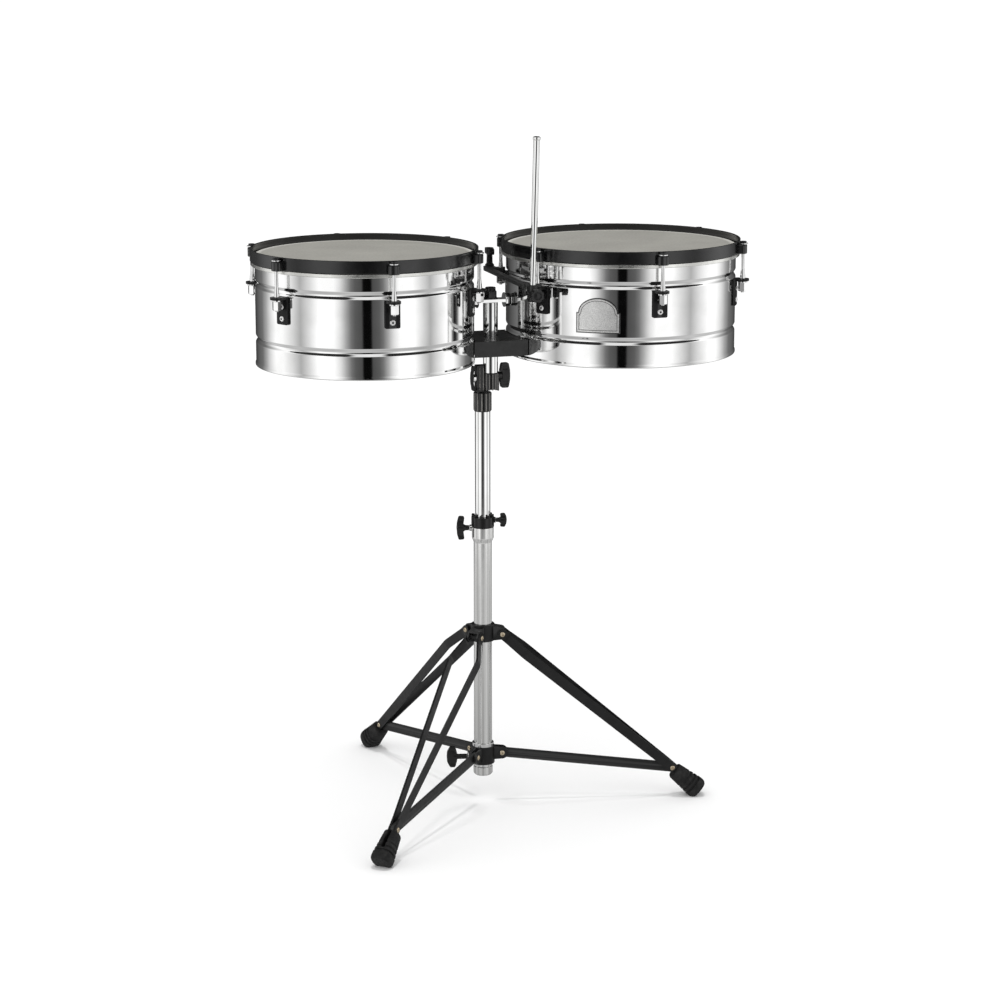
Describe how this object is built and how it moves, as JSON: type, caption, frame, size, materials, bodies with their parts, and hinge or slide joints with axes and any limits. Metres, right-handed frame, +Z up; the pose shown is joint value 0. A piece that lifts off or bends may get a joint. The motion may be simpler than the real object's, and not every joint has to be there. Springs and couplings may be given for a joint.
{
  "type": "timbales",
  "caption": "Pair of shallow chrome metal drums with black hoops, side by side on a folding tripod stand with a tilter, a telescoping tube and a bell post.",
  "frame": {"origin": "On the floor, in the middle of the footprint of the whole object's box.", "axes": "+Z is up, +X runs along the line of the drums from the small one to the large one, -Y is the audience's side."},
  "size_m": [0.7648, 0.6102, 1.06],
  "materials": {
    "chrome": "polished chrome plate",
    "black_steel": "black powder coat, satin",
    "black_plastic": "moulded black nylon",
    "rubber": "moulded black rubber",
    "drum_film": "translucent drum head film with a light metal flesh hoop",
    "badge_plate": "brushed plate, blank"
  },
  "bodies": {
    "base": {"lower_tube": "chrome", "upper_collar": "black_steel"},
    "collar": {"lower_collar": "black_steel"},
    "leg_1": {"leg_1": "black_steel", "foot_1": "rubber"},
    "leg_2": {"leg_2": "black_steel", "foot_2": "rubber"},
    "leg_3": {"leg_3": "black_steel", "foot_3": "rubber"},
    "brace_1": {"brace_1": "black_steel"},
    "brace_2": {"brace_2": "black_steel"},
    "brace_3": {"brace_3": "black_steel"},
    "collar_wing": {"lower_wing_bolt": "black_plastic"},
    "height_wing": {"height_wing_bolt": "black_plastic"},
    "mast": {"upper_tube": "chrome", "memory_lock": "black_plastic", "tilter_base": "black_plastic"},
    "memory_wing": {"memory_wing_screw": "black_plastic"},
    "tilter": {"tilter_head": "black_plastic"},
    "tilt_wing": {"tilt_wing_bolt": "black_plastic"},
    "post_wing": {"post_wing_bolt": "black_plastic"},
    "post": {"post_tube": "chrome"},
    "drums": {"small_shell": "chrome", "small_head": "drum_film", "small_hoop": "black_steel", "large_shell": "chrome", "large_head": "drum_film", "large_hoop": "black_steel", "small_lug_1": "black_steel", "small_lug_2": "black_steel", "small_lug_3": "black_steel", "small_lug_4": "black_steel", "small_lug_5": "black_steel", "small_lug_6": "black_steel", "small_rod_1": "chrome", "small_rod_2": "chrome", "small_rod_3": "chrome", "small_rod_4": "chrome", "small_rod_5": "chrome", "small_rod_6": "chrome", "large_lug_1": "black_steel", "large_lug_2": "black_steel", "large_lug_3": "black_steel", "large_lug_4": "black_steel", "large_lug_5": "black_steel", "large_lug_6": "black_steel", "large_rod_1": "chrome", "large_rod_2": "chrome", "large_rod_3": "chrome", "large_rod_4": "chrome", "large_rod_5": "chrome", "large_rod_6": "chrome", "large_badge": "badge_plate", "spacer_block": "black_plastic", "mount_bar": "chrome", "top_bolt": "black_steel", "bell_arm": "black_steel"},
    "arm_wing": {"bell_arm_wing_bolt": "black_plastic"},
    "bell_post": {"bell_post": "chrome"},
    "bell_knob": {"bell_knob": "black_plastic"}
  },
  "joints": [
    {"name": "leg_1_fold", "type": "hinge", "parent": "base", "child": "leg_1", "pos_m": [0.00381, -0.04122, 0.2756], "axis": [0.213, 0.977, 0], "range_deg": [0, 44.08]},
    {"name": "leg_2_fold", "type": "hinge", "parent": "base", "child": "leg_2", "pos_m": [-0.03462, -0.00625, 0.2756], "axis": [-0.9527, -0.304, 0], "range_deg": [0, 44.08]},
    {"name": "leg_3_fold", "type": "hinge", "parent": "base", "child": "leg_3", "pos_m": [-0.04569, -0.05702, 0.2756], "axis": [0.7396, -0.673, 0], "range_deg": [0, 44.08]},
    {"name": "collar_slide", "type": "slide", "parent": "base", "child": "collar", "axis": [0, 0, 1], "range_m": [0, 0.1146]},
    {"name": "brace_1_fold", "type": "hinge", "parent": "collar", "child": "brace_1", "pos_m": [0.00381, -0.04122, 0.0793], "axis": [0.213, 0.977, 0], "range_deg": [0, 75.48]},
    {"name": "brace_2_fold", "type": "hinge", "parent": "collar", "child": "brace_2", "pos_m": [-0.03462, -0.00625, 0.0793], "axis": [-0.9527, -0.304, 0], "range_deg": [0, 75.48]},
    {"name": "brace_3_fold", "type": "hinge", "parent": "collar", "child": "brace_3", "pos_m": [-0.04569, -0.05702, 0.0793], "axis": [0.7396, -0.673, 0], "range_deg": [0, 75.48]},
    {"name": "collar_wing_turn", "type": "hinge", "parent": "collar", "child": "collar_wing", "pos_m": [-0.0255, -0.03483, 0.073], "axis": [-0.977, 0.213, 0], "continuous": true},
    {"name": "height_wing_turn", "type": "hinge", "parent": "base", "child": "height_wing", "pos_m": [-0.0255, -0.03483, 0.4455], "axis": [-0.9681, 0.2504, 0], "continuous": true},
    {"name": "height_slide", "type": "slide", "parent": "base", "child": "mast", "axis": [0, 0, 1], "range_m": [0, 0.2]},
    {"name": "memory_wing_turn", "type": "hinge", "parent": "mast", "child": "memory_wing", "pos_m": [-0.0255, -0.03483, 0.458], "axis": [0.9563, -0.2924, 0], "continuous": true},
    {"name": "tilt", "type": "hinge", "parent": "mast", "child": "tilter", "pos_m": [-0.0255, -0.03483, 0.682], "axis": [1, 0, 0], "range_deg": [-30, 15]},
    {"name": "tilt_wing_turn", "type": "hinge", "parent": "mast", "child": "tilt_wing", "pos_m": [-0.0255, -0.03483, 0.682], "axis": [-1, 0, 0], "continuous": true},
    {"name": "post_wing_turn", "type": "hinge", "parent": "tilter", "child": "post_wing", "pos_m": [-0.0127, -0.03483, 0.685], "axis": [1, 0, 0], "continuous": true},
    {"name": "post_slide", "type": "slide", "parent": "tilter", "child": "post", "axis": [0, 0, 1], "range_m": [0, 0.018]},
    {"name": "drum_swivel", "type": "hinge", "parent": "post", "child": "drums", "pos_m": [-0.0127, -0.03483, 0], "axis": [0, 0, 1], "range_deg": [-180, 180]},
    {"name": "arm_wing_turn", "type": "hinge", "parent": "drums", "child": "arm_wing", "pos_m": [0.0185, 0.07517, 0], "axis": [0, 0, 1], "continuous": true},
    {"name": "bell_post_slide", "type": "slide", "parent": "drums", "child": "bell_post", "axis": [0.0233, -0.0073, 0.9997], "range_m": [-0.1, 0]},
    {"name": "bell_knob_turn", "type": "hinge", "parent": "drums", "child": "bell_knob", "pos_m": [0.0196, -0.03483, 0.826], "axis": [0, -1, 0], "continuous": true}
  ],
  "couplings": [
    {"joint": "leg_2_fold", "follows": "leg_1_fold", "ratio": 1},
    {"joint": "leg_3_fold", "follows": "leg_1_fold", "ratio": 1},
    {"joint": "collar_slide", "follows": "leg_1_fold", "m_per_rad": 0.14896},
    {"joint": "brace_1_fold", "follows": "leg_1_fold", "ratio": 1.7123},
    {"joint": "brace_2_fold", "follows": "leg_1_fold", "ratio": 1.7123},
    {"joint": "brace_3_fold", "follows": "leg_1_fold", "ratio": 1.7123}
  ]
}
